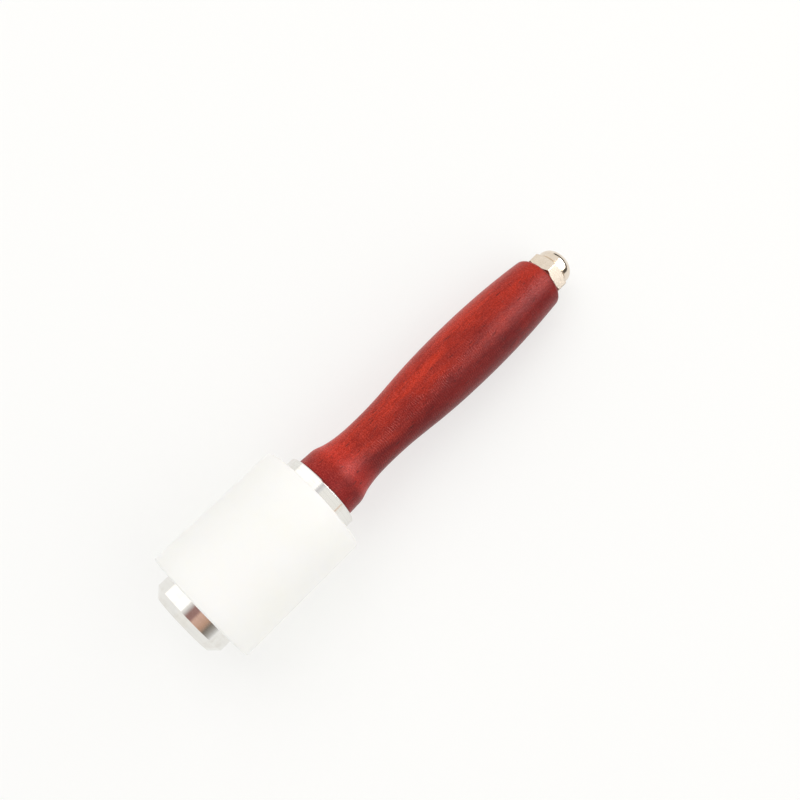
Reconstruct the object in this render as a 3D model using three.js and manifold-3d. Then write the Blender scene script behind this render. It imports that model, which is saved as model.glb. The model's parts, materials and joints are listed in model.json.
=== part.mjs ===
import * as THREE from 'three';
import { mergeVertices } from 'three/addons/utils/BufferGeometryUtils.js';
import Module from 'manifold-3d';

// Leather carving mallet, in millimetres.
// A nylon head, a metal end cap, a collar and a turned wooden handle are threaded on one tie rod
// and clamped by a domed cap nut. Every piece is turned about its own Y axis, and the pieces are
// stacked along it from the end cap to the cap nut. The mallet lies on its side, the way it is put
// down: it rests on the head's rim and on the end of the handle.

const wasm = await Module();
wasm.setup();

// Counts of flats and steps
const turnedSides = 48;
const rodSides = 24;
const hexSides = 6;
const edgeSteps = 2;
const domeSteps = 5;
const shoulderSteps = 3;
const neckSteps = 6;
const gripSteps = 10;
const taperSteps = 7;
const endSteps = 2;

// Fits
const seatGap = 0.3; // between two faces that the rod clamps together
const rodClearance = 0.3; // around the rod in metal and nylon
const woodClearance = 0.5; // around the rod in the drilled handle
const threadGap = 0.3; // around the rod's mean thread in a tapped hole
const cutOverrun = 1; // past the face or corner that a tool cuts through

// End cap: a turned disc, tapped from the inside
const capDiameter = 30.4;
const capSideLength = 4.6;
const capChamfer = 3;
const capFloor = 2; // metal left under the tapped hole

// Striking head: nylon bar, bored through
const headDiameter = 45;
const headLength = 51.9;
const headEdgeRadius = 0.6;
const headRingClearance = 0.2; // from the collar's rim out to the flat ring that a rack holds

// Collar between the head and the handle
const collarDiameter = 30.6;
const collarThickness = 4.8;
const collarEdge = 0.35;

// Handle: foot, shoulder, waist, belly and rounded end
const handleLength = 116.7;
const footDiameter = 25.6;
const footTopDiameter = 25.2;
const footEdge = 0.35;
const footLength = 5.2;
const shoulderLength = 3.8;
const shoulderDiameter = 23.9;
const waistPlace = 24;
const waistDiameter = 20;
const bellyPlace = 79;
const bellyDiameter = 25.6;
const handleEndDiameter = 21.8;
const handleEndRadius = 2.2;

// How far each curve of the handle runs straight on from its ends, as shares of its length
const shoulderCornerShare = 0.55;
const neckStartShare = 0.21;
const neckEndShare = 0.5;
const gripStartShare = 0.36;
const gripEndShare = 0.6;

// Tie rod, with a thread at each end that a plain cylinder at half the thread's depth stands for
const rodDiameter = 10;
const threadHalfDepth = 0.5;
const capThreadLength = 12;
const nutThreadLength = 24;
const rodEndChamfer = 0.8;

// Domed cap nut
const nutAcrossFlats = 16;
const nutHexHeight = 6.1;
const nutSeatInset = 0.8; // from a flat in to the circle that touches the wood
const nutTopInset = 0.4; // from a flat in to the circle that the upper chamfer leaves
const nutChamferSlope = Math.tan(THREE.MathUtils.degToRad(30));
const domeInset = 0.7; // from a flat in to the dome
const domeCylinderHeight = 2.4;
const domeCapHeight = 4.9;
const nutCrownWall = 1.9; // between the drill point and the top of the dome
const drillPointSlope = Math.tan(THREE.MathUtils.degToRad(31));
const nutTurn = THREE.MathUtils.degToRad(6.7); // from a corner straight up, about the rod

// Sizes that follow from those above
const capLength = capChamfer + capSideLength;
const threadRadius = rodDiameter / 2 - threadHalfDepth;
const tappedRadius = threadRadius + threadGap;
const nutHeight = nutHexHeight + domeCylinderHeight + domeCapHeight;
const nutHoleDepth = nutHeight - nutCrownWall - tappedRadius * drillPointSlope;

// Places along the stack, from the end cap's outer face
const headStart = capLength + seatGap;
const collarStart = headStart + headLength + seatGap;
const handleStart = collarStart + collarThickness + seatGap;
const nutStart = handleStart + handleLength + seatGap;
const rodStart = capFloor + threadGap;
const rodEnd = nutStart + nutHoleDepth - threadGap;

const nylon = new THREE.MeshStandardMaterial({ color: 0xf4f4ee, roughness: 0.45, metalness: 0 });
const redWood = new THREE.MeshStandardMaterial({ color: 0xa82c22, roughness: 0.35, metalness: 0 });
const turnedMetal = new THREE.MeshStandardMaterial({ color: 0xcfcac2, roughness: 0.25, metalness: 1 });
const nickel = new THREE.MeshStandardMaterial({ color: 0xd6cfc0, roughness: 0.15, metalness: 1 });
const rodSteel = new THREE.MeshStandardMaterial({ color: 0xb4b2ae, roughness: 0.4, metalness: 1 });

// A closed body turned from an outline of radius against height, a flat of it facing along +Z.
function turn(points, sides = turnedSides) {
  const geometry = new THREE.LatheGeometry(points, sides, Math.PI / sides);
  return weld(geometry);
}

// Only positions are kept, with shared vertices joined and empty triangles left out.
function weld(geometry) {
  geometry.deleteAttribute('normal');
  geometry.deleteAttribute('uv');
  const welded = mergeVertices(geometry);
  const index = welded.index.array;
  const kept = [];
  for (let i = 0; i < index.length; i += 3) {
    const [a, b, c] = [index[i], index[i + 1], index[i + 2]];
    if (a !== b && b !== c && c !== a) kept.push(a, b, c);
  }
  welded.setIndex(kept);
  return welded;
}

function toSolid(geometry) {
  const vertProperties = Float32Array.from(geometry.attributes.position.array);
  const triVerts = Uint32Array.from(geometry.index.array);
  return new wasm.Manifold(new wasm.Mesh({ numProp: 3, vertProperties, triVerts }));
}

function toGeometry(solid) {
  const mesh = solid.getMesh();
  const geometry = new THREE.BufferGeometry();
  geometry.setAttribute('position', new THREE.BufferAttribute(Float32Array.from(mesh.vertProperties), 3));
  geometry.setIndex(Array.from(mesh.triVerts));
  return geometry;
}

// A disc with a 45 degree chamfer round its outer face and a flat-bottomed tapped hole inside.
function endCapOutline() {
  const radius = capDiameter / 2;
  const outline = new THREE.Path();
  outline.moveTo(0, 0);
  outline.lineTo(radius - capChamfer, 0);
  outline.lineTo(radius, capChamfer);
  outline.lineTo(radius, capLength);
  outline.lineTo(tappedRadius, capLength);
  outline.lineTo(tappedRadius, capFloor);
  outline.lineTo(0, capFloor);
  return outline.getPoints(edgeSteps);
}

// A bored cylinder whose two outer edges are rounded. The flat ring that it shows round the collar
// is marked off from the part of its face that the collar covers.
function headOutline() {
  const radius = headDiameter / 2;
  const boreRadius = rodDiameter / 2 + rodClearance;
  const edge = headEdgeRadius;
  const outline = new THREE.Path();
  outline.moveTo(boreRadius, 0);
  outline.lineTo(radius - edge, 0);
  outline.absarc(radius - edge, edge, edge, -Math.PI / 2, 0);
  outline.lineTo(radius, headLength - edge);
  outline.absarc(radius - edge, headLength - edge, edge, 0, Math.PI / 2);
  outline.lineTo(collarDiameter / 2 + headRingClearance, headLength);
  outline.lineTo(boreRadius, headLength);
  outline.lineTo(boreRadius, 0);
  return outline.getPoints(edgeSteps);
}

// A bored disc with both outer edges broken.
function collarOutline() {
  const radius = collarDiameter / 2;
  const boreRadius = rodDiameter / 2 + rodClearance;
  const outline = new THREE.Path();
  outline.moveTo(boreRadius, 0);
  outline.lineTo(radius - collarEdge, 0);
  outline.lineTo(radius, collarEdge);
  outline.lineTo(radius, collarThickness - collarEdge);
  outline.lineTo(radius - collarEdge, collarThickness);
  outline.lineTo(boreRadius, collarThickness);
  outline.lineTo(boreRadius, 0);
  return outline.getPoints(edgeSteps);
}

// The outer line of the handle, from its foot on the collar to its rounded end.
function handleSide() {
  const shoulderEnd = footLength + shoulderLength;
  const neckLength = waistPlace - shoulderEnd;
  const gripLength = bellyPlace - waistPlace;
  const endCentre = handleLength - handleEndRadius;
  const taperLength = endCentre - bellyPlace;
  const footRadius = footDiameter / 2;
  const footTopRadius = footTopDiameter / 2;
  const shoulderRadius = shoulderDiameter / 2;
  const waistRadius = waistDiameter / 2;
  const bellyRadius = bellyDiameter / 2;
  const endRadius = handleEndDiameter / 2;
  const cornerPlace = footLength + shoulderLength * shoulderCornerShare;
  const shoulderSlope = (footTopRadius - shoulderRadius) / (shoulderEnd - cornerPlace);
  const neckReach = neckLength * neckStartShare;

  const foot = new THREE.LineCurve(
    new THREE.Vector2(footRadius, footEdge),
    new THREE.Vector2(footTopRadius, footLength),
  );
  const shoulder = new THREE.QuadraticBezierCurve(
    new THREE.Vector2(footTopRadius, footLength),
    new THREE.Vector2(footTopRadius, cornerPlace),
    new THREE.Vector2(shoulderRadius, shoulderEnd),
  );
  const neck = new THREE.CubicBezierCurve(
    new THREE.Vector2(shoulderRadius, shoulderEnd),
    new THREE.Vector2(shoulderRadius - shoulderSlope * neckReach, shoulderEnd + neckReach),
    new THREE.Vector2(waistRadius, waistPlace - neckLength * neckEndShare),
    new THREE.Vector2(waistRadius, waistPlace),
  );
  const grip = new THREE.CubicBezierCurve(
    new THREE.Vector2(waistRadius, waistPlace),
    new THREE.Vector2(waistRadius, waistPlace + gripLength * gripStartShare),
    new THREE.Vector2(bellyRadius, bellyPlace - gripLength * gripEndShare),
    new THREE.Vector2(bellyRadius, bellyPlace),
  );
  const taper = new THREE.QuadraticBezierCurve(
    new THREE.Vector2(bellyRadius, bellyPlace),
    new THREE.Vector2(bellyRadius, bellyPlace + taperLength / 2),
    new THREE.Vector2(endRadius, endCentre),
  );
  const end = new THREE.EllipseCurve(
    endRadius - handleEndRadius, endCentre, handleEndRadius, handleEndRadius, 0, Math.PI / 2,
  );
  return [
    new THREE.Vector2(footRadius - footEdge, 0),
    ...foot.getPoints(1),
    ...shoulder.getPoints(shoulderSteps).slice(1),
    ...neck.getPoints(neckSteps).slice(1),
    ...grip.getPoints(gripSteps).slice(1),
    ...taper.getPoints(taperSteps).slice(1),
    ...end.getPoints(endSteps).slice(1),
  ];
}

function handleOutline() {
  const boreRadius = rodDiameter / 2 + woodClearance;
  return [
    new THREE.Vector2(boreRadius, 0),
    ...handleSide(),
    new THREE.Vector2(boreRadius, handleLength),
    new THREE.Vector2(boreRadius, 0),
  ];
}

function tieRodOutline() {
  const length = rodEnd - rodStart;
  const shankRadius = rodDiameter / 2;
  const outline = new THREE.Path();
  outline.moveTo(0, 0);
  outline.lineTo(threadRadius - rodEndChamfer, 0);
  outline.lineTo(threadRadius, rodEndChamfer);
  outline.lineTo(threadRadius, capThreadLength);
  outline.lineTo(shankRadius, capThreadLength);
  outline.lineTo(shankRadius, length - nutThreadLength);
  outline.lineTo(threadRadius, length - nutThreadLength);
  outline.lineTo(threadRadius, length - rodEndChamfer);
  outline.lineTo(threadRadius - rodEndChamfer, length);
  outline.lineTo(0, length);
  return outline.getPoints(edgeSteps);
}

// The turned blank of the nut's hexagon: two cones cut its corners back to a circle on each face.
function hexBlankOutline(cornerRadius) {
  const reach = cornerRadius + cutOverrun;
  const seatRadius = nutAcrossFlats / 2 - nutSeatInset;
  const topRadius = nutAcrossFlats / 2 - nutTopInset;
  return [
    new THREE.Vector2(0, 0),
    new THREE.Vector2(seatRadius, 0),
    new THREE.Vector2(reach, (reach - seatRadius) * nutChamferSlope),
    new THREE.Vector2(reach, nutHexHeight - (reach - topRadius) * nutChamferSlope),
    new THREE.Vector2(topRadius, nutHexHeight),
    new THREE.Vector2(0, nutHexHeight),
  ];
}

// The dome starts inside the hexagon, rises as a short cylinder and closes in a flattened cap.
function domeOutline() {
  const radius = nutAcrossFlats / 2 - domeInset;
  const capBase = nutHexHeight + domeCylinderHeight;
  const cap = new THREE.EllipseCurve(0, capBase, radius, domeCapHeight, 0, Math.PI / 2);
  const capPoints = cap.getPoints(domeSteps);
  return [
    new THREE.Vector2(0, nutHexHeight / 2),
    new THREE.Vector2(radius, nutHexHeight / 2),
    ...capPoints.slice(0, -1),
    new THREE.Vector2(0, nutHeight),
  ];
}

// A blind tapped hole with the cone that a drill leaves.
function nutHoleOutline() {
  return [
    new THREE.Vector2(0, -cutOverrun),
    new THREE.Vector2(tappedRadius, -cutOverrun),
    new THREE.Vector2(tappedRadius, nutHoleDepth),
    new THREE.Vector2(0, nutHeight - nutCrownWall),
  ];
}

function capNutGeometry() {
  const cornerRadius = nutAcrossFlats / 2 / Math.cos(Math.PI / hexSides);
  const prism = new THREE.CylinderGeometry(cornerRadius, cornerRadius, nutHexHeight, hexSides);
  prism.translate(0, nutHexHeight / 2, 0);
  prism.rotateY(nutTurn);
  const hexagon = toSolid(weld(prism)).intersect(toSolid(turn(hexBlankOutline(cornerRadius))));
  const dome = toSolid(turn(domeOutline()));
  const hole = toSolid(turn(nutHoleOutline(), rodSides));
  return toGeometry(hexagon.add(dome).subtract(hole));
}

function piece(name, geometry, material, place) {
  const mesh = new THREE.Mesh(geometry, material);
  mesh.name = name;
  mesh.position.y = place;
  return mesh;
}

// The fall of the axis towards the handle's end when the head's rim and the handle both touch
// a level surface: the steepest line that has every point of the two outlines on one side.
function restSlope() {
  const rim = headOutline().map((p) => new THREE.Vector2(p.x, p.y + headStart));
  const side = handleSide().map((p) => new THREE.Vector2(p.x, p.y + handleStart));
  const slopes = rim.map((r) => Math.min(...side.map((s) => (r.x - s.x) / (s.y - r.y))));
  return Math.max(...slopes) * Math.cos(Math.PI / turnedSides);
}

const stack = new THREE.Group();
stack.add(
  piece('end_cap', turn(endCapOutline()), turnedMetal, 0),
  piece('striking_head', turn(headOutline()), nylon, headStart),
  piece('collar', turn(collarOutline()), turnedMetal, collarStart),
  piece('handle', turn(handleOutline()), redWood, handleStart),
  piece('tie_rod', turn(tieRodOutline(), rodSides), rodSteel, rodStart),
  piece('cap_nut', capNutGeometry(), nickel, nutStart),
);
stack.rotation.z = -Math.PI / 2;

const leaning = new THREE.Group();
leaning.add(stack);
leaning.rotation.y = Math.atan(restSlope());

// The origin is under the middle of the mallet, on the surface it lies on.
const mallet = new THREE.Group();
mallet.add(leaning);
mallet.updateMatrixWorld(true);
const extent = new THREE.Box3().setFromObject(mallet, true);
const middle = extent.getCenter(new THREE.Vector3());
mallet.position.set(-middle.x, -middle.y, -extent.min.z);
mallet.updateMatrixWorld(true);

export default mallet;
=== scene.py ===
import json
import math

import bpy
from mathutils import Matrix, Vector


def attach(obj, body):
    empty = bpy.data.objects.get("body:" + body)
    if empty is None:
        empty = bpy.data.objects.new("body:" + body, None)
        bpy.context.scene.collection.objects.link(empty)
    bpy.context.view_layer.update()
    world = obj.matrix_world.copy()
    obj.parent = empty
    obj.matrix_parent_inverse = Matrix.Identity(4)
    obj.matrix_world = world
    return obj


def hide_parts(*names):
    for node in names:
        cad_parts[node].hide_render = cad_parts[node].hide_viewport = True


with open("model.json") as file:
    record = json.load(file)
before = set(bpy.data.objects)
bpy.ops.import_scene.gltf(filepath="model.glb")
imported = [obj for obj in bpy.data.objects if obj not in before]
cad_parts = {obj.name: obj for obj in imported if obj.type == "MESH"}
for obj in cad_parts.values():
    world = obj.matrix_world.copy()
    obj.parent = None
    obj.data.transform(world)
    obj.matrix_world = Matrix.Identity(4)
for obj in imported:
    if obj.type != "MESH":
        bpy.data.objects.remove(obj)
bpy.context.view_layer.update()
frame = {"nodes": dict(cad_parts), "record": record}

# Leather carving mallet, in metres. Every piece is turned about one axis, which the record's
# standing face gives: heights run along it from the end cap's outer face to the cap nut.

TURN = 2 * math.pi

# Fineness of the meshes
SIDES = 192
THREAD_SIDES = 48
THREAD_ROWS = 8
ARC_STEPS = 5
CURVE_STEPS = 24
GRIP_STEPS = 2 * CURVE_STEPS
DOME_STEPS = 24
SUPPORT_SHARE = 0.4
SHARP_ANGLE = math.radians(35)

# The hexagon's flats, the degrees that each takes, and the degrees from a corner that get a point
HEX_SIDES = 6
HEX_DEGREES = 360 / HEX_SIDES
HEX_CORNER_STEPS = (0, 0.35, 0.7, 1.05, 1.6, 2.5, 4, 6, 9, 12, 16, 20, 25)

# Fits
SEAM = 0.00002
THREAD_PLAY = 0.00005
METAL_BORE_PLAY = 0.0003
WOOD_BORE_PLAY = 0.0005

# End cap
CAP_CHAMFER = 0.003
CAP_FLOOR = 0.002
METAL_ROUNDING = 0.0002

# Striking head
HEAD_ROUNDING = 0.0006

# Collar
COLLAR_EDGE = 0.00035
COLLAR_ROUNDING = 0.0001

# Handle
FOOT_RADIUS = 0.0128
FOOT_TOP_RADIUS = 0.0126
FOOT_ROUNDING = 0.00035
FOOT_LENGTH = 0.0052
SHOULDER_LENGTH = 0.0038
SHOULDER_RADIUS = 0.01195
WAIST_PLACE = 0.024
WAIST_RADIUS = 0.01
BELLY_PLACE = 0.079
BELLY_RADIUS = 0.0128
HANDLE_END_RADIUS = 0.0109
HANDLE_END_ROUNDING = 0.0022
HANDLE_END_STEPS = 2 * ARC_STEPS

# How far each curve of the handle runs straight on from its ends, as shares of its length
SHOULDER_CORNER_SHARE = 0.55
NECK_START_SHARE = 0.21
NECK_END_SHARE = 0.5
GRIP_START_SHARE = 0.36
GRIP_END_SHARE = 0.6

# Tie rod and its threads
ROD_RADIUS = 0.005
THREAD_MEAN_RADIUS = 0.00454
THREAD_HALF_DEPTH = 0.00041
THREAD_PITCH = 0.0015
THREAD_FADE = 0.0012
THREAD_FLAT_SHARE = 0.75
CAP_THREAD_LENGTH = 0.012
NUT_THREAD_LENGTH = 0.024
ROD_CHAMFER = 0.0008

# Cap nut
NUT_ACROSS_FLATS = 0.016
NUT_HEX_HEIGHT = 0.0061
NUT_SEAT_INSET = 0.0008
NUT_TOP_INSET = 0.0004
NUT_DOME_INSET = 0.0007
NUT_GROOVE_HEIGHT = 0.0007
NUT_GROOVE_DEPTH = 0.0003
NUT_CHAMFER_SLOPE = math.tan(math.radians(30))
NUT_CORNER_ROUNDING = 0.0003
NUT_EDGE_ROUNDING = 0.0002
DOME_CYLINDER = 0.0024
DOME_CAP = 0.0049
NUT_CROWN_WALL = 0.0019
DRILL_POINT_SLOPE = math.tan(math.radians(31))
NUT_TURN = math.radians(6.7)

standing_face = next(m for m in frame["record"]["mounts"] if m["name"] == "standing_face")
ORIGIN = Vector(standing_face["pos_m"])
ALONG = -Vector(standing_face["axis"]).normalized()
ACROSS = Vector((0, -1, 0))
UPWARD = ACROSS.cross(ALONG)


def place(radius, turn, height):
    """A point at a radius and height, turned about the axis from straight up towards -Y."""
    return (ORIGIN + ALONG * height
            + UPWARD * (radius * math.cos(turn)) + ACROSS * (radius * math.sin(turn)))


def span(node):
    """The lowest and highest height and the largest radius of a CAD node."""
    heights = []
    radii = []
    for vertex in frame["nodes"][node].data.vertices:
        offset = vertex.co - ORIGIN
        height = offset.dot(ALONG)
        heights.append(height)
        radii.append((offset - ALONG * height).length)
    return min(heights), max(heights), max(radii)


def seat(lower, upper):
    """The height where two clamped pieces meet: the middle of the gap between their solids."""
    return (span(lower)[1] + span(upper)[0]) / 2


HEAD_START = seat("end_cap", "striking_head")
COLLAR_START = seat("striking_head", "collar")
HANDLE_START = seat("collar", "handle")
NUT_START = seat("handle", "cap_nut")


# Meshes

def fillet(corners):
    """Outline points from corners (radius, height, rounding), each rounded corner as an arc.

    A point just before and after each arc keeps the shading of the faces beside it flat.
    """
    points = []
    for i, (radius, height, rounding) in enumerate(corners):
        corner = Vector((radius, height))
        if not rounding:
            points.append(tuple(corner))
            continue
        before = (Vector(corners[i - 1][:2]) - corner).normalized()
        after = (Vector(corners[(i + 1) % len(corners)][:2]) - corner).normalized()
        half = before.angle(after) / 2
        centre = corner + (before + after).normalized() * (rounding / math.sin(half))
        start = corner + before * (rounding / math.tan(half)) - centre
        end = corner + after * (rounding / math.tan(half)) - centre
        sweep = start.angle_signed(end)
        points.append(tuple(centre + start + before * rounding * SUPPORT_SHARE))
        for step in range(ARC_STEPS + 1):
            turn = -sweep * step / ARC_STEPS
            cosine, sine = math.cos(turn), math.sin(turn)
            points.append((centre.x + start.x * cosine - start.y * sine,
                           centre.y + start.x * sine + start.y * cosine))
        points.append(tuple(centre + end + after * rounding * SUPPORT_SHARE))
    return points


def bezier(points, steps):
    """Points along a quadratic or cubic Bezier curve, its start left out."""
    order = len(points) - 1
    curve = []
    for step in range(1, steps + 1):
        t = step / steps
        weights = [math.comb(order, k) * t ** k * (1 - t) ** (order - k) for k in range(order + 1)]
        curve.append((sum(w * p[0] for w, p in zip(weights, points)),
                      sum(w * p[1] for w, p in zip(weights, points))))
    return curve


def even_turns(sides):
    return [TURN * side / sides for side in range(sides)]


def revolve(name, outline_at, turns):
    """A closed mesh whose outline, a loop or a line from axis to axis, may change with the turn."""
    columns = [outline_at(turn) for turn in turns]
    rows = len(columns[0])
    vertices = []
    index = []
    for row in range(rows):
        if columns[0][row][0] == 0:
            index.append([len(vertices)] * len(turns))
            vertices.append(place(0, 0, columns[0][row][1]))
            continue
        index.append([len(vertices) + k for k in range(len(turns))])
        vertices += [place(column[row][0], turn, column[row][1])
                     for column, turn in zip(columns, turns)]
    is_loop = columns[0][0][0] != 0
    faces = []
    for row in range(rows if is_loop else rows - 1):
        low, high = index[row], index[(row + 1) % rows]
        for k in range(len(turns)):
            after = (k + 1) % len(turns)
            face = [low[k], low[after], high[after], high[k]]
            faces.append(list(dict.fromkeys(face)))
    mesh = bpy.data.meshes.new(name)
    mesh.from_pydata(vertices, [], faces)
    mesh.validate()
    mesh.shade_smooth()
    mesh.set_sharp_from_angle(angle=SHARP_ANGLE)
    piece = bpy.data.objects.new(name, mesh)
    bpy.context.scene.collection.objects.link(piece)
    return piece


def thread(turn, height, start, end):
    """How far a thread stands out from its mean radius: a wave with flats, fading at both ends."""
    phase = (height / THREAD_PITCH - turn / TURN) % 1
    wave = 4 * abs(phase - 0.5) - 1
    wave = max(-THREAD_FLAT_SHARE, min(THREAD_FLAT_SHARE, wave)) / THREAD_FLAT_SHARE
    fade = min(1, (height - start) / THREAD_FADE, (end - height) / THREAD_FADE)
    return THREAD_HALF_DEPTH * wave * max(0, fade)


def threaded(turn, start, end, mean_radius):
    """Outline points of a threaded stretch, from start up to end."""
    rows = round((end - start) / THREAD_PITCH * THREAD_ROWS)
    heights = [start + (end - start) * row / rows for row in range(rows + 1)]
    return [(mean_radius + thread(turn, height, start, end), height) for height in heights]


def end_cap():
    radius = span("end_cap")[2]
    top = HEAD_START - SEAM / 2
    outside = fillet([
        (0, 0, 0),
        (radius - CAP_CHAMFER, 0, METAL_ROUNDING),
        (radius, CAP_CHAMFER, METAL_ROUNDING),
        (radius, top, METAL_ROUNDING),
        (THREAD_MEAN_RADIUS + THREAD_HALF_DEPTH, top, 0),
    ])

    def outline(turn):
        hole = threaded(turn, CAP_FLOOR, top - THREAD_HALF_DEPTH, THREAD_MEAN_RADIUS + THREAD_PLAY)
        return outside + hole[::-1] + [(0, CAP_FLOOR)]

    return revolve("turned_end_cap", outline, even_turns(SIDES))


def striking_head():
    radius = span("striking_head")[2]
    bore = ROD_RADIUS + METAL_BORE_PLAY
    low, high = HEAD_START + SEAM / 2, COLLAR_START - SEAM / 2
    outline = fillet([
        (bore, low, 0),
        (radius, low, HEAD_ROUNDING),
        (radius, high, HEAD_ROUNDING),
        (bore, high, 0),
    ])
    return revolve("nylon_head", lambda turn: outline, even_turns(SIDES))


def collar():
    radius = span("collar")[2]
    bore = ROD_RADIUS + METAL_BORE_PLAY
    low, high = COLLAR_START + SEAM / 2, HANDLE_START - SEAM / 2
    outline = fillet([
        (bore, low, 0),
        (radius - COLLAR_EDGE, low, COLLAR_ROUNDING),
        (radius, low + COLLAR_EDGE, COLLAR_ROUNDING),
        (radius, high - COLLAR_EDGE, COLLAR_ROUNDING),
        (radius - COLLAR_EDGE, high, COLLAR_ROUNDING),
        (bore, high, 0),
    ])
    return revolve("turned_collar", lambda turn: outline, even_turns(SIDES))


def handle():
    bore = ROD_RADIUS + WOOD_BORE_PLAY
    low, high = HANDLE_START + SEAM / 2, NUT_START - SEAM / 2
    foot_top = low + FOOT_LENGTH
    shoulder_end = foot_top + SHOULDER_LENGTH
    waist = low + WAIST_PLACE
    belly = low + BELLY_PLACE
    neck_length = waist - shoulder_end
    grip_length = belly - waist
    taper_end = high - HANDLE_END_ROUNDING
    corner = foot_top + SHOULDER_LENGTH * SHOULDER_CORNER_SHARE
    shoulder_slope = (FOOT_TOP_RADIUS - SHOULDER_RADIUS) / (shoulder_end - corner)
    neck_reach = neck_length * NECK_START_SHARE

    foot = fillet([(bore, low, 0), (FOOT_RADIUS, low, FOOT_ROUNDING), (FOOT_TOP_RADIUS, foot_top, 0)])
    shoulder = bezier([
        (FOOT_TOP_RADIUS, foot_top),
        (FOOT_TOP_RADIUS, corner),
        (SHOULDER_RADIUS, shoulder_end),
    ], CURVE_STEPS)
    neck = bezier([
        (SHOULDER_RADIUS, shoulder_end),
        (SHOULDER_RADIUS - shoulder_slope * neck_reach, shoulder_end + neck_reach),
        (WAIST_RADIUS, waist - neck_length * NECK_END_SHARE),
        (WAIST_RADIUS, waist),
    ], CURVE_STEPS)
    grip = bezier([
        (WAIST_RADIUS, waist),
        (WAIST_RADIUS, waist + grip_length * GRIP_START_SHARE),
        (BELLY_RADIUS, belly - grip_length * GRIP_END_SHARE),
        (BELLY_RADIUS, belly),
    ], GRIP_STEPS)
    taper = bezier([
        (BELLY_RADIUS, belly),
        (BELLY_RADIUS, (belly + taper_end) / 2),
        (HANDLE_END_RADIUS, taper_end),
    ], CURVE_STEPS)
    end_turns = [TURN / 4 * step / HANDLE_END_STEPS for step in range(1, HANDLE_END_STEPS + 1)]
    end = [(HANDLE_END_RADIUS - HANDLE_END_ROUNDING * (1 - math.cos(turn)),
            taper_end + HANDLE_END_ROUNDING * math.sin(turn)) for turn in end_turns]
    outline = foot + shoulder + neck + grip + taper + end + [(bore, high)]
    return revolve("wooden_handle", lambda turn: outline, even_turns(SIDES))


def tie_rod():
    low, high, _ = span("tie_rod")
    chamfer_radius = THREAD_MEAN_RADIUS - ROD_CHAMFER
    mean = THREAD_MEAN_RADIUS - THREAD_PLAY

    def outline(turn):
        return ([(0, low), (chamfer_radius, low)]
                + threaded(turn, low + ROD_CHAMFER, low + CAP_THREAD_LENGTH, mean)
                + [(ROD_RADIUS, low + CAP_THREAD_LENGTH + THREAD_HALF_DEPTH)]
                + [(ROD_RADIUS, high - NUT_THREAD_LENGTH - THREAD_HALF_DEPTH)]
                + threaded(turn, high - NUT_THREAD_LENGTH, high - ROD_CHAMFER, mean)
                + [(chamfer_radius, high), (0, high)])

    return revolve("threaded_tie_rod", outline, even_turns(THREAD_SIDES))


def hexagon_radius(turn):
    """The radius of the hexagon, its corners rounded, at a turn from a corner."""
    sixth = TURN / HEX_SIDES
    off = abs((turn + sixth / 2) % sixth - sixth / 2)
    flat = NUT_ACROSS_FLATS / 2
    centre = (flat - NUT_CORNER_ROUNDING) / math.cos(sixth / 2)
    edge = math.atan2(NUT_CORNER_ROUNDING * math.sin(sixth / 2),
                      centre + NUT_CORNER_ROUNDING * math.cos(sixth / 2))
    if off < edge:
        reach = NUT_CORNER_ROUNDING ** 2 - (centre * math.sin(off)) ** 2
        return centre * math.cos(off) + math.sqrt(reach)
    return flat / math.cos(sixth / 2 - off)


def hexagon_turns():
    """Turns that are close together at the hexagon's corners and have one in each flat's middle."""
    offsets = {side * off for off in HEX_CORNER_STEPS for side in (1, -1)} | {HEX_DEGREES / 2}
    return sorted((NUT_TURN + math.radians(HEX_DEGREES * corner + off)) % TURN
                  for corner in range(HEX_SIDES) for off in offsets)


def cap_nut():
    low = NUT_START + SEAM / 2
    hex_top = low + NUT_HEX_HEIGHT
    dome_base = hex_top + DOME_CYLINDER
    flat = NUT_ACROSS_FLATS / 2
    seat_radius = flat - NUT_SEAT_INSET
    top_radius = flat - NUT_TOP_INSET
    dome_radius = flat - NUT_DOME_INSET
    groove_radius = dome_radius - NUT_GROOVE_DEPTH
    groove_top = hex_top + NUT_GROOVE_HEIGHT
    crown = dome_base + DOME_CAP
    drill_point = crown - NUT_CROWN_WALL
    hole_radius = THREAD_MEAN_RADIUS + THREAD_PLAY
    hole_end = drill_point - hole_radius * DRILL_POINT_SLOPE
    dome_turns = [TURN / 4 * step / DOME_STEPS for step in range(DOME_STEPS)]
    dome = [(dome_radius * math.cos(turn), dome_base + DOME_CAP * math.sin(turn))
            for turn in dome_turns]

    def outline(turn):
        hexagon = hexagon_radius(turn - NUT_TURN)
        hole = threaded(turn, low + THREAD_HALF_DEPTH, hole_end, hole_radius)
        outside = fillet([
            (hole_radius + THREAD_HALF_DEPTH, low, 0),
            (seat_radius, low, METAL_ROUNDING),
            (hexagon, low + (hexagon - seat_radius) * NUT_CHAMFER_SLOPE, NUT_EDGE_ROUNDING),
            (hexagon, hex_top - (hexagon - top_radius) * NUT_CHAMFER_SLOPE, NUT_EDGE_ROUNDING),
            (top_radius, hex_top, 0),
            (groove_radius, hex_top, 0),
            (groove_radius, groove_top - NUT_GROOVE_DEPTH, 0),
            (dome_radius, groove_top, 0),
        ])
        return [(0, drill_point)] + hole[::-1] + outside + dome + [(0, crown)]

    return revolve("domed_cap_nut", outline, hexagon_turns())


# Materials

# Colours are linear red, green and blue with an alpha. Waves are counts per metre along the
# stack's own axes: upward, across and along. Depths and places are in metres.

TO_STACK = Matrix((UPWARD, ACROSS, ALONG)).transposed().to_euler()
WHITE = (1, 1, 1, 1)
BLACK = (0, 0, 0, 1)

# How strong each finer wave of a noise is against the one before
OCTAVE_SHARE = 0.5

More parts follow.
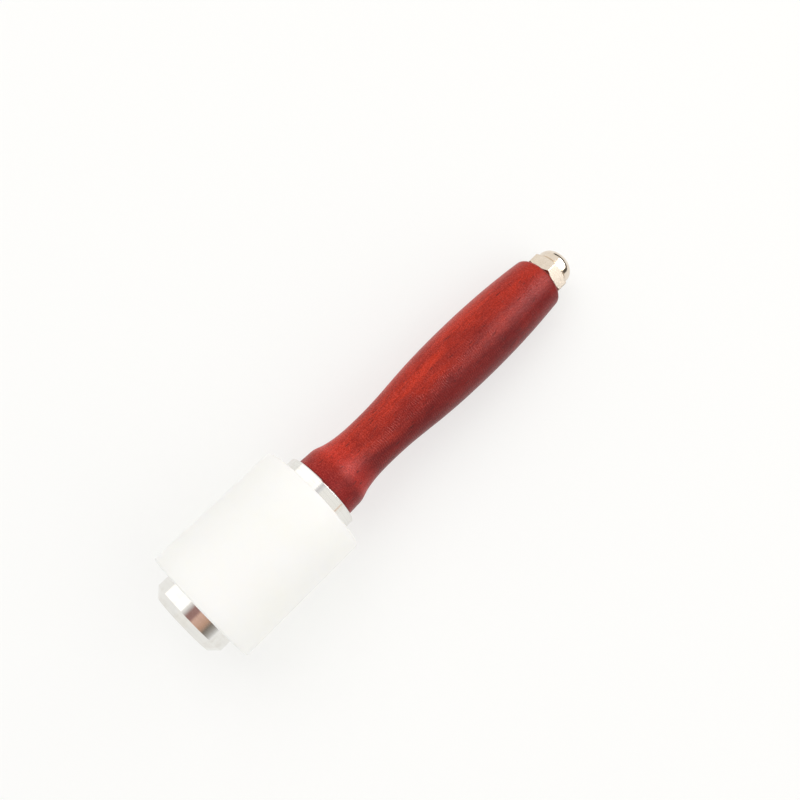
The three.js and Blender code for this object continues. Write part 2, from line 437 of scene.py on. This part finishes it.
# Two ranges of a noise's values: one that holds most of them, and one that holds nearly all
MOST = (0.35, 0.65)
NEARLY_ALL = (0.3, 0.7)


def feed(tree, node, socket, value):
    """Links a node's input to another node's output, or sets it to a plain value."""
    if isinstance(value, bpy.types.NodeSocket):
        tree.links.new(value, node.inputs[socket])
    else:
        node.inputs[socket].default_value = value


def add(tree, kind, inputs=None, **settings):
    """A new shader node with its settings, and its inputs fed."""
    node = tree.nodes.new("ShaderNode" + kind)
    for name, value in settings.items():
        setattr(node, name, value)
    for socket, value in (inputs or {}).items():
        feed(tree, node, socket, value)
    return node


def material(name, **inputs):
    """A Principled material with plain values for the named inputs."""
    made = bpy.data.materials.new(name)
    made.use_nodes = True
    shader = made.node_tree.nodes["Principled BSDF"]
    for socket, value in inputs.items():
        feed(made.node_tree, shader, socket.replace("_", " "), value)
    return made, made.node_tree, shader


def object_position(tree):
    return add(tree, "TexCoord").outputs["Object"]


def stack_position(tree):
    """Position in the stack's own axes: x upward, y across, z from the end cap's face."""
    inputs = {"Vector": object_position(tree), "Location": ORIGIN, "Rotation": TO_STACK}
    return add(tree, "Mapping", inputs, vector_type="TEXTURE").outputs["Vector"]


def coordinate(tree, position, axis):
    return add(tree, "SeparateXYZ", {"Vector": position}).outputs[axis]


def length(tree, position):
    return add(tree, "VectorMath", {0: position}, operation="LENGTH").outputs["Value"]


def ring_position(tree, position):
    """Distance from the axis, nothing, and height: the same all the way round a lathe cut."""
    parts = add(tree, "SeparateXYZ", {"Vector": position}).outputs
    flat = add(tree, "CombineXYZ", {"X": parts["X"], "Y": parts["Y"]}).outputs[0]
    return add(tree, "CombineXYZ", {"X": length(tree, flat), "Z": parts["Z"]}).outputs[0]


def noise(tree, position, waves, detail=2):
    """Noise with so many waves per metre along each axis, and finer ones by its detail."""
    scaled = add(tree, "VectorMath", {0: position, 1: waves}, operation="MULTIPLY").outputs[0]
    return add(tree, "TexNoise", {"Vector": scaled, "Scale": 1, "Detail": detail,
                                  "Roughness": OCTAVE_SHARE}).outputs["Fac"]


def remap(tree, value, start, end, low=0.0, high=1.0):
    """A value's range from start to end turned into low to high, and held there beyond it."""
    return add(tree, "MapRange", {"Value": value, "From Min": start, "From Max": end,
                                  "To Min": low, "To Max": high}).outputs["Result"]


def patches(tree, position, waves, edges, detail=3, share=1.0):
    """Noise cut into patches: 0 up to its first edge, and the share from the second one on."""
    return remap(tree, noise(tree, position, waves, detail), *edges, 0, share)


def calculate(tree, operation, first, second=0):
    return add(tree, "Math", {0: first, 1: second}, operation=operation).outputs[0]


def product(tree, value, *others):
    for other in others:
        value = calculate(tree, "MULTIPLY", value, other)
    return value


def tint(tree, share, colour, other):
    """A colour going over to another one as a share goes from 0 to 1."""
    return add(tree, "Mix", {0: share, 6: colour, 7: other}, data_type="RGBA").outputs[2]


def layers(tree, colour, *tones):
    """A colour under (share, colour) tones, one laid on top of the other."""
    for share, other in tones:
        colour = tint(tree, share, colour, other)
    return colour


def finish(tree, shader, colour, roughness, *bumps):
    """Gives a material its colour, its roughness and its bumps, as (height, depth) pairs."""
    feed(tree, shader, "Base Color", colour)
    feed(tree, shader, "Roughness", roughness)
    normal = None
    for height, depth in bumps:
        inputs = {"Height": height, "Distance": depth}
        if normal:
            inputs["Normal"] = normal
        normal = add(tree, "Bump", inputs).outputs["Normal"]
    feed(tree, shader, "Normal", normal)


# Milky nylon, with light scattered inside it
NYLON = (0.968, 0.97, 0.91, 1)
NYLON_CLOUD = (0.96, 0.96, 0.89, 1)
NYLON_ROUGHNESS = 0.42
NYLON_SCATTER = (1.0, 0.97, 0.9)
NYLON_SCATTER_REACH = 0.008
NYLON_RING_DEPTH = 0.000012
NYLON_SCUFF_DEPTH = 0.00002


def milky_nylon():
    made, tree, shader = material(
        "milky_nylon", Subsurface_Weight=1.0,
        Subsurface_Radius=NYLON_SCATTER, Subsurface_Scale=NYLON_SCATTER_REACH)
    position = stack_position(tree)
    clouds = patches(tree, position, waves=(60, 60, 60), edges=MOST)
    rings = noise(tree, ring_position(tree, position), waves=(2500, 0, 2500))
    scuffs = noise(tree, position, waves=(700, 700, 250))
    finish(tree, shader, tint(tree, clouds, NYLON, NYLON_CLOUD), NYLON_ROUGHNESS,
           (rings, NYLON_RING_DEPTH), (scuffs, NYLON_SCUFF_DEPTH))
    return made


# Turned metal, with the fine rings that a lathe leaves
METAL = (0.84, 0.83, 0.8, 1)
METAL_RING = (0.78, 0.77, 0.74, 1)
METAL_DULL = (0.7, 0.67, 0.62, 1)
METAL_ROUGHNESS = (0.07, 0.14)
METAL_RING_DEPTH = 0.000001


def turned_metal():
    made, tree, shader = material("turned_metal", Metallic=1.0)
    position = stack_position(tree)
    rings = noise(tree, ring_position(tree, position), waves=(6000, 0, 6000), detail=3)
    dull = patches(tree, position, waves=(260, 260, 260), edges=(0.5, 0.75), detail=4, share=0.6)
    colour = layers(tree, METAL, (remap(tree, rings, *MOST), METAL_RING), (dull, METAL_DULL))
    finish(tree, shader, colour, remap(tree, rings, *NEARLY_ALL, *METAL_ROUGHNESS),
           (rings, METAL_RING_DEPTH))
    return made


# Stained wood: its colours, with painted shade and painted light among them
RED_STAIN = (0.55, 0.028, 0.006, 1)
# Painted shade: the colour of the handle's side away from the key light
PAINTED_SHADE = (0.115, 0.002, 0.003, 1)
BROWN_BLOTCH = (0.22, 0.006, 0.003, 1)
BROWN_STREAK = (0.18, 0.005, 0.003, 1)
# Painted light: the shoulder coloured paler where the side lamps fall on it
PAINTED_SHOULDER_LIGHT = (0.7, 0.04, 0.025, 1)
# Darker towards both ends of the handle
END_DARKENING = (0.24, 0.006, 0.006, 1)
DARK_SPECK = (0.13, 0.002, 0.001, 1)
PALE_SPECK = (0.6, 0.09, 0.075, 1)
DARK_PORE = (0.06, 0.003, 0.003, 1)
# Painted shade: a thin dark rim where the wood meets the collar and the cap nut
PAINTED_CONTACT_SHADE = (0.08, 0.004, 0.003, 1)
# Lathe ribs, paler; where they are clear in the sheen band the pale is a painted highlight
PALE_MARK_AND_SHEEN = (0.6, 0.1, 0.08, 1)

# Pairs of places: where a tone of the wood is 0, and where it has its full share. A tone that
# comes and goes has two pairs. Across the handle:
# Where the painted shade on the side away from the key light begins, and where it is full
SHADE_BORDER = (-0.004, 0.008)
# The band across the handle where the sheen falls, in which the ribs are clear and painted pale as a
# highlight
SHEEN_BAND = ((-0.004, 0), (0.009, 0.005))

# Along it, from its foot:
FOOT_DARKENING = (0.009, 0.003)
# Painted shade at the foot, where the wood meets the collar
FOOT_CONTACT_SHADE = (0.001, 0.0003)
# Where the painted light on the shoulder comes and goes
SHOULDER_LIGHT_SPAN = ((0.006, 0.0095), (0.019, 0.01))
MIDDLE = ((0.015, 0.03), (0.09, 0.065))

# Along it, from the nut:
NUT_END_DARKENING = (-0.03, 0)
# Painted shade at the end, where the wood meets the cap nut
END_CONTACT_SHADE = (-0.0012, -0.0003)

# How far the border of the painted shade strays, for the whole range of a noise
BORDER_SWAY = 0.03

# Its lacquer and the depths of its relief
LACQUER_SPECULAR = 0.18
LACQUER_ROUGHNESS = (0.28, 0.4)
GRAIN_DEPTH = 0.00009
MARK_DEPTH = 0.00007
PORE_DEPTH = -0.00005

# The ribs that the lathe leaves, as a wave along the handle that wanders by so many radians
RIBS_PER_METRE = 1200
RIB_WANDER = 26
RIB_CREST = (0.2, 1)
MARK_SHARE = 0.35


def tone(tree, value, places, base=0, share=1.0):
    """0 at the first of two places from a base, and the share at the second one."""
    nothing, full = places
    return remap(tree, value, base + nothing, base + full, 0, share)


def window(tree, value, pairs, base=0, share=1.0):
    """A tone that comes between a first pair of places and goes between a second one."""
    coming, going = pairs
    return product(tree, tone(tree, value, coming, base), tone(tree, value, going, base, share))


def painted_shade_side(tree, position, across):
    """0 on the red side of the handle and 1 on its other side, which is painted shade, with an uneven
    border.
    """
    clouds = calculate(tree, "SUBTRACT", noise(tree, position, waves=(120, 120, 40), detail=3), 0.5)
    uneven = calculate(tree, "ADD", across, product(tree, clouds, BORDER_SWAY))
    return tone(tree, uneven, SHADE_BORDER)


def turning_marks(tree, position, across, height):
    """Ribs round the wood: faint ones all over it, and clear ones on the middle of the side where the
    sheen falls, where their pale colour is a painted highlight.
    """
    wander = product(tree, noise(tree, position, waves=(170, 170, 170)), RIB_WANDER)
    phase = calculate(tree, "ADD", product(tree, height, TURN * RIBS_PER_METRE), wander)
    ribs = remap(tree, calculate(tree, "SINE", phase), *RIB_CREST)
    clear = patches(tree, position, waves=(420, 420, 160), edges=(0.46, 0.62), detail=2)
    faint = patches(tree, position, waves=(500, 500, 250), edges=(0.42, 0.6), detail=2, share=0.4)
    middle = window(tree, height, MIDDLE, HANDLE_START)
    # The clear ribs only where the sheen falls: their pale colour there is a painted highlight
    sheen_band = window(tree, across, SHEEN_BAND)
    return calculate(tree, "MAXIMUM",
                     product(tree, ribs, clear, middle, sheen_band), product(tree, ribs, faint))


def lacquered_wood():
    made, tree, shader = material("lacquered_wood", Specular_IOR_Level=LACQUER_SPECULAR)
    position = stack_position(tree)
    across = coordinate(tree, position, "Y")
    height = coordinate(tree, position, "Z")
    grain = noise(tree, position, waves=(3000, 3000, 1900))

    # Painted shade on the side of the handle away from the key light
    dark = painted_shade_side(tree, position, across)
    blotches = patches(tree, position, waves=(200, 200, 50), edges=(0.45, 0.62), share=0.4)
    streaks = patches(tree, position, waves=(1200, 1200, 45), edges=(0.48, 0.65), share=0.42)
    # Painted light: the shoulder, which faces the side lamps, coloured paler
    shoulder = window(tree, height, SHOULDER_LIGHT_SPAN, HANDLE_START, share=0.45)
    # Darker towards both ends of the handle
    darker_ends = calculate(tree, "ADD",
                       tone(tree, height, FOOT_DARKENING, HANDLE_START, share=0.7),
                       tone(tree, height, NUT_END_DARKENING, NUT_START, share=0.3))
    dark_specks = tone(tree, grain, (0.45, 0.65), share=0.55)
    pale_specks = product(tree, tone(tree, grain, (0.48, 0.38), share=0.28),
                          remap(tree, dark, 0, 1, 1, 0.4))
    pores = patches(tree, position, waves=(1500, 1500, 220), edges=(0.68, 0.74), detail=1, share=0.7)
    # Painted shade: a thin dark rim where the wood meets the collar and the nut
    contact_shade = calculate(tree, "MAXIMUM",
                     tone(tree, height, END_CONTACT_SHADE, NUT_START, share=0.5),
                     tone(tree, height, FOOT_CONTACT_SHADE, HANDLE_START, share=0.8))
    marks = turning_marks(tree, position, across, height)

    colour = layers(
        tree, RED_STAIN,
        # Painted shade on the side away from the key light
        (dark, PAINTED_SHADE),
        (blotches, BROWN_BLOTCH),
        (streaks, BROWN_STREAK),
        # Painted light on the shoulder
        (shoulder, PAINTED_SHOULDER_LIGHT),
        (darker_ends, END_DARKENING),
        (dark_specks, DARK_SPECK),
        (pale_specks, PALE_SPECK),
        (pores, DARK_PORE),
        # Painted shade at the joins with the collar and the nut
        (contact_shade, PAINTED_CONTACT_SHADE),
        # Lathe ribs, painted pale: real marks, and a painted highlight where they are clear in the
        # sheen band
        (product(tree, marks, MARK_SHARE), PALE_MARK_AND_SHEEN),
    )
    finish(tree, shader, colour, remap(tree, grain, *MOST, *LACQUER_ROUGHNESS),
           (grain, GRAIN_DEPTH), (marks, MARK_DEPTH), (pores, PORE_DEPTH))
    return made


# Rod steel, with marks drawn along it
STEEL = (0.62, 0.61, 0.59, 1)
STEEL_MARK = (0.48, 0.47, 0.46, 1)
STEEL_ROUGHNESS = (0.25, 0.4)
STEEL_MARK_DEPTH = 0.000003


def rod_steel():
    made, tree, shader = material("rod_steel", Metallic=1.0)
    drawn = noise(tree, stack_position(tree), waves=(3000, 3000, 60), detail=3)
    finish(tree, shader, tint(tree, drawn, STEEL, STEEL_MARK),
           remap(tree, drawn, *NEARLY_ALL, *STEEL_ROUGHNESS), (drawn, STEEL_MARK_DEPTH))
    return made


# Nickel, satin on the hexagon and polished on the dome
NICKEL = (0.8, 0.705, 0.6, 1)
NICKEL_CLOUD = (0.75, 0.65, 0.545, 1)
SATIN_ROUGHNESS = (0.2, 0.3)
POLISHED_ROUGHNESS = (0.12, 0.17)
GRIT_DEPTH = 0.0000025


def nickel():
    made, tree, shader = material("nickel", Metallic=1.0)
    position = stack_position(tree)
    dome = tone(tree, coordinate(tree, position, "Z"), (0, NUT_GROOVE_HEIGHT),
                NUT_START + NUT_HEX_HEIGHT)
    grit = noise(tree, position, waves=(4000, 4000, 4000), detail=3)
    clouds = patches(tree, position, waves=(500, 500, 500), edges=(0.4, 0.7))
    satin = remap(tree, grit, *NEARLY_ALL, *SATIN_ROUGHNESS)
    polished = remap(tree, grit, *NEARLY_ALL, *POLISHED_ROUGHNESS)
    roughness = add(tree, "Mix", {0: dome, 2: satin, 3: polished}).outputs[0]
    hexagon_grit = product(tree, grit, calculate(tree, "SUBTRACT", 1.0, dome))
    finish(tree, shader, tint(tree, clouds, NICKEL, NICKEL_CLOUD), roughness,
           (hexagon_grit, GRIT_DEPTH))
    return made


turned = turned_metal()
for make, node, slot, surface in (
    (end_cap, "end_cap", "turned_metal", turned),
    (striking_head, "striking_head", "nylon", milky_nylon()),
    (collar, "collar", "turned_metal", turned),
    (handle, "handle", "lacquered_wood", lacquered_wood()),
    (tie_rod, "tie_rod", "rod_steel", rod_steel()),
    (cap_nut, "cap_nut", "nickel", nickel()),
):
    piece = make()
    piece.data.materials.append(surface)
    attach(piece, "root")
    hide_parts(node)


# Studio

# The floor: white paper, darker where it is shown beside its own glow, and all glow far out
FLOOR_REACH = 12.0
FLOOR_DROP = 0.0001
FLOOR_FADE = (0.5, 2.0)
PAPER = (0.9, 0.9, 0.89, 1)
SHOWN_PAPER = (0.4, 0.4, 0.392, 1)
PAPER_GLOW = 0.57

# The light all round, and how much stronger it is where it is seen and where it is mirrored
WORLD_LIGHT = (1, 0.985, 0.95, 1)
WORLD_STRENGTH = 0.74
WORLD_SEEN_MORE = 0.26
WORLD_MIRRORED_MORE = 0.24

# The room that the end cap mirrors, on a card that slopes down towards -Y
ROOM_TOP_Y = 0.14
ROOM_FOOT_Y = -1.3
ROOM_COLOURS = (
    (0.0, (1, 0.99, 0.97)),
    (0.04, (0.8, 0.77, 0.75)),
    (0.08, (0.5, 0.41, 0.39)),
    (0.1, (0.37, 0.21, 0.19)),
    (0.165, (0.37, 0.21, 0.19)),
    (0.2, (0.74, 0.48, 0.39)),
    (0.33, (0.58, 0.36, 0.26)),
    (0.42, (0.24, 0.21, 0.18)),
    (1.0, (1, 1, 1)),
)

# A level card, mirrored as the grey patch on the collar
OVERHEAD_START_Y = -0.09
OVERHEAD_DEPTH = 0.13
OVERHEAD_COLOURS = (
    (0.0, (0.9, 0.9, 0.9)),
    (0.6, (0.7, 0.68, 0.69)),
    (1.0, (1, 1, 1)),
)

# An upright card, mirrored as the warm line on the collar
WARM_COLOURS = ((0.0, (0.85, 0.66, 0.52)),)

# Low dark cards in an arc beyond the cap nut, between two headings in degrees from +X
HORIZON_COLOURS = ((0.0, (0.08, 0.07, 0.06)),)
HORIZON_HEADINGS = (-55, 25)
HORIZON_CARD_DEGREES = 10
HORIZON_REACH = 0.35
HORIZON_HEIGHT = 0.11


def sheet(name, start, end, sweep, surface, mirrored_only=True):
    """A flat stage piece that a line from start to end leaves when it is swept along.

    One that is mirrored_only shows in reflections and nowhere else.
    """
    start, end, sweep = Vector(start), Vector(end), Vector(sweep)
    mesh = bpy.data.meshes.new(name)
    mesh.from_pydata([start, end, end + sweep, start + sweep], [], [range(4)])
    made = bpy.data.objects.new(name, mesh)
    bpy.context.scene.collection.objects.link(made)
    made.data.materials.append(surface)
    made.visible_camera = not mirrored_only
    made.visible_diffuse = not mirrored_only
    made.visible_shadow = not mirrored_only
    made.visible_transmission = not mirrored_only


def shown(tree):
    """1 for a ray from the camera, a mirror or glass, 0 for one that lights a surface."""
    path = add(tree, "LightPath").outputs
    mirrored = calculate(tree, "MAXIMUM", path["Is Glossy Ray"], path["Is Transmission Ray"])
    return calculate(tree, "MAXIMUM", path["Is Camera Ray"], mirrored)


def floor_paper():
    """White paper. Where it is shown it glows too, so its shadows are light and its far end white."""
    made, tree, shader = material("floor_paper", Roughness=1.0, Specular_IOR_Level=0.0)
    is_shown = shown(tree)
    far = remap(tree, length(tree, object_position(tree)), *FLOOR_FADE)
    colour = tint(tree, is_shown, PAPER, tint(tree, far, SHOWN_PAPER, BLACK))
    glow = product(tree, is_shown, remap(tree, far, 0, 1, PAPER_GLOW, 1))
    feed(tree, shader, "Base Color", colour)
    feed(tree, shader, "Emission Color", WHITE)
    feed(tree, shader, "Emission Strength", glow)
    return made


def own_light(name, colours, start=0, end=1):
    """A material that only glows, its colours in turn along Y from start to end.

    They are (share, colour) pairs, of which the first has the share 0.
    """
    made, tree, shader = material(name, Roughness=1.0, Specular_IOR_Level=0.0, Base_Color=BLACK,
                                  Emission_Strength=1)
    along = coordinate(tree, object_position(tree), "Y")
    ramp = add(tree, "ValToRGB", {"Fac": remap(tree, along, start, end)})
    stops = ramp.color_ramp.elements
    stops.remove(stops[-1])
    stops[0].color = (*colours[0][1], 1)
    for share, colour in colours[1:]:
        stops.new(share).color = (*colour, 1)
    feed(tree, shader, "Emission Color", ramp.outputs["Color"])
    return made


def softbox(name, direction, distance, size, radiance, glossy=True, diffuse=True):
    """An area light that faces the mallet, as bright as radiance where it is seen."""
    lamp = bpy.data.lights.new(name, "AREA")
    lamp.shape = "RECTANGLE"
    lamp.size, lamp.size_y = size
    lamp.energy = radiance * math.pi * size[0] * size[1]
    made = bpy.data.objects.new(name, lamp)
    bpy.context.scene.collection.objects.link(made)
    made.location = Vector(direction).normalized() * distance
    made.rotation_euler = made.location.to_track_quat("Z", "Y").to_euler()
    made.visible_glossy = glossy
    made.visible_diffuse = diffuse


def surrounding_light():
    """An even warm light all round, which is white where it is seen."""
    world = bpy.data.worlds.new("studio")
    bpy.context.scene.world = world
    world.use_nodes = True
    tree = world.node_tree
    path = add(tree, "LightPath").outputs
    seen = calculate(tree, "MAXIMUM", path["Is Camera Ray"], path["Is Transmission Ray"])
    strength = calculate(tree, "ADD", WORLD_STRENGTH, product(tree, seen, WORLD_SEEN_MORE))
    mirrored = product(tree, path["Is Glossy Ray"], WORLD_MIRRORED_MORE)
    strength = calculate(tree, "ADD", strength, mirrored)
    background = tree.nodes["Background"]
    feed(tree, background, "Color", tint(tree, seen, WORLD_LIGHT, WHITE))
    feed(tree, background, "Strength", strength)


def room_cards():
    """The cards whose reflections the metals show."""
    sheet("near_room", start=(-0.4, ROOM_TOP_Y, 0.5), end=(-0.4, ROOM_FOOT_Y, 0.03),
          sweep=(0.38, 0, 0), surface=own_light("near_room", ROOM_COLOURS, ROOM_TOP_Y, ROOM_FOOT_Y))
    sheet("warm_card", start=(-0.01, -0.5, 0.14), end=(0.13, -0.5, 0.14), sweep=(0, 0, 0.04),
          surface=own_light("warm_card", WARM_COLOURS))
    sheet("overhead_card", start=(0.02, OVERHEAD_START_Y, 0.5), end=(0.2, OVERHEAD_START_Y, 0.5),
          sweep=(0, OVERHEAD_DEPTH, 0),
          surface=own_light("overhead_card", OVERHEAD_COLOURS,
                            OVERHEAD_START_Y, OVERHEAD_START_Y + OVERHEAD_DEPTH))
    dark = own_light("horizon", HORIZON_COLOURS)
    for heading in range(*HORIZON_HEADINGS, HORIZON_CARD_DEGREES):
        turns = (math.radians(heading), math.radians(heading + HORIZON_CARD_DEGREES))
        start, end = [Vector((math.cos(turn), math.sin(turn), 0)) * HORIZON_REACH for turn in turns]
        sheet("horizon", start, end, sweep=(0, 0, HORIZON_HEIGHT), surface=dark)


sheet("floor", start=(-FLOOR_REACH, -FLOOR_REACH, -FLOOR_DROP),
      end=(FLOOR_REACH, -FLOOR_REACH, -FLOOR_DROP), sweep=(0, 2 * FLOOR_REACH, 0),
      surface=floor_paper(), mirrored_only=False)
surrounding_light()

# Lamps without glossy rays only light the mallet, and those without diffuse rays it only mirrors
softbox("key", direction=(0.12, 0.55, 0.83), distance=1.5, size=(1.2, 1.2), radiance=1.25,
        glossy=False)
softbox("fill", direction=(0.3, -0.75, 0.59), distance=1.5, size=(1.2, 1.2), radiance=1.05,
        glossy=False)
softbox("left_card", direction=(-0.03, 0.707, 0.707), distance=1.0, size=(0.6, 1.75), radiance=0.4,
        diffuse=False)
softbox("window_card", direction=(0.66, -0.42, 0.6), distance=1.0, size=(0.66, 0.74), radiance=3.2,
        diffuse=False)
softbox("side_card", direction=(0.78, -0.19, 0.6), distance=0.98, size=(0.5, 0.45), radiance=5.2,
        diffuse=False)
softbox("side_light", direction=(0.78, -0.19, 0.6), distance=1.5, size=(0.9, 0.9), radiance=0.6,
        glossy=False)

room_cards()

# The photograph's camera
CAMERA_PLACE = (-0.04687, -0.05286, 0.34065)
CAMERA_ELEVATION = math.radians(75.86)
CAMERA_HEADING = math.radians(44.37)
LENS = 40.75
SENSOR = 36
NEAREST_SEEN = 0.01

camera = bpy.data.objects.new("camera", bpy.data.cameras.new("camera"))
bpy.context.scene.collection.objects.link(camera)
camera.location = CAMERA_PLACE
camera.rotation_euler = (math.pi / 2 - CAMERA_ELEVATION, 0, CAMERA_HEADING - math.pi / 2)
camera.data.lens = LENS
camera.data.sensor_width = SENSOR
camera.data.clip_start = NEAREST_SEEN
bpy.context.scene.camera = camera
bpy.context.scene.view_settings.view_transform = "Standard"
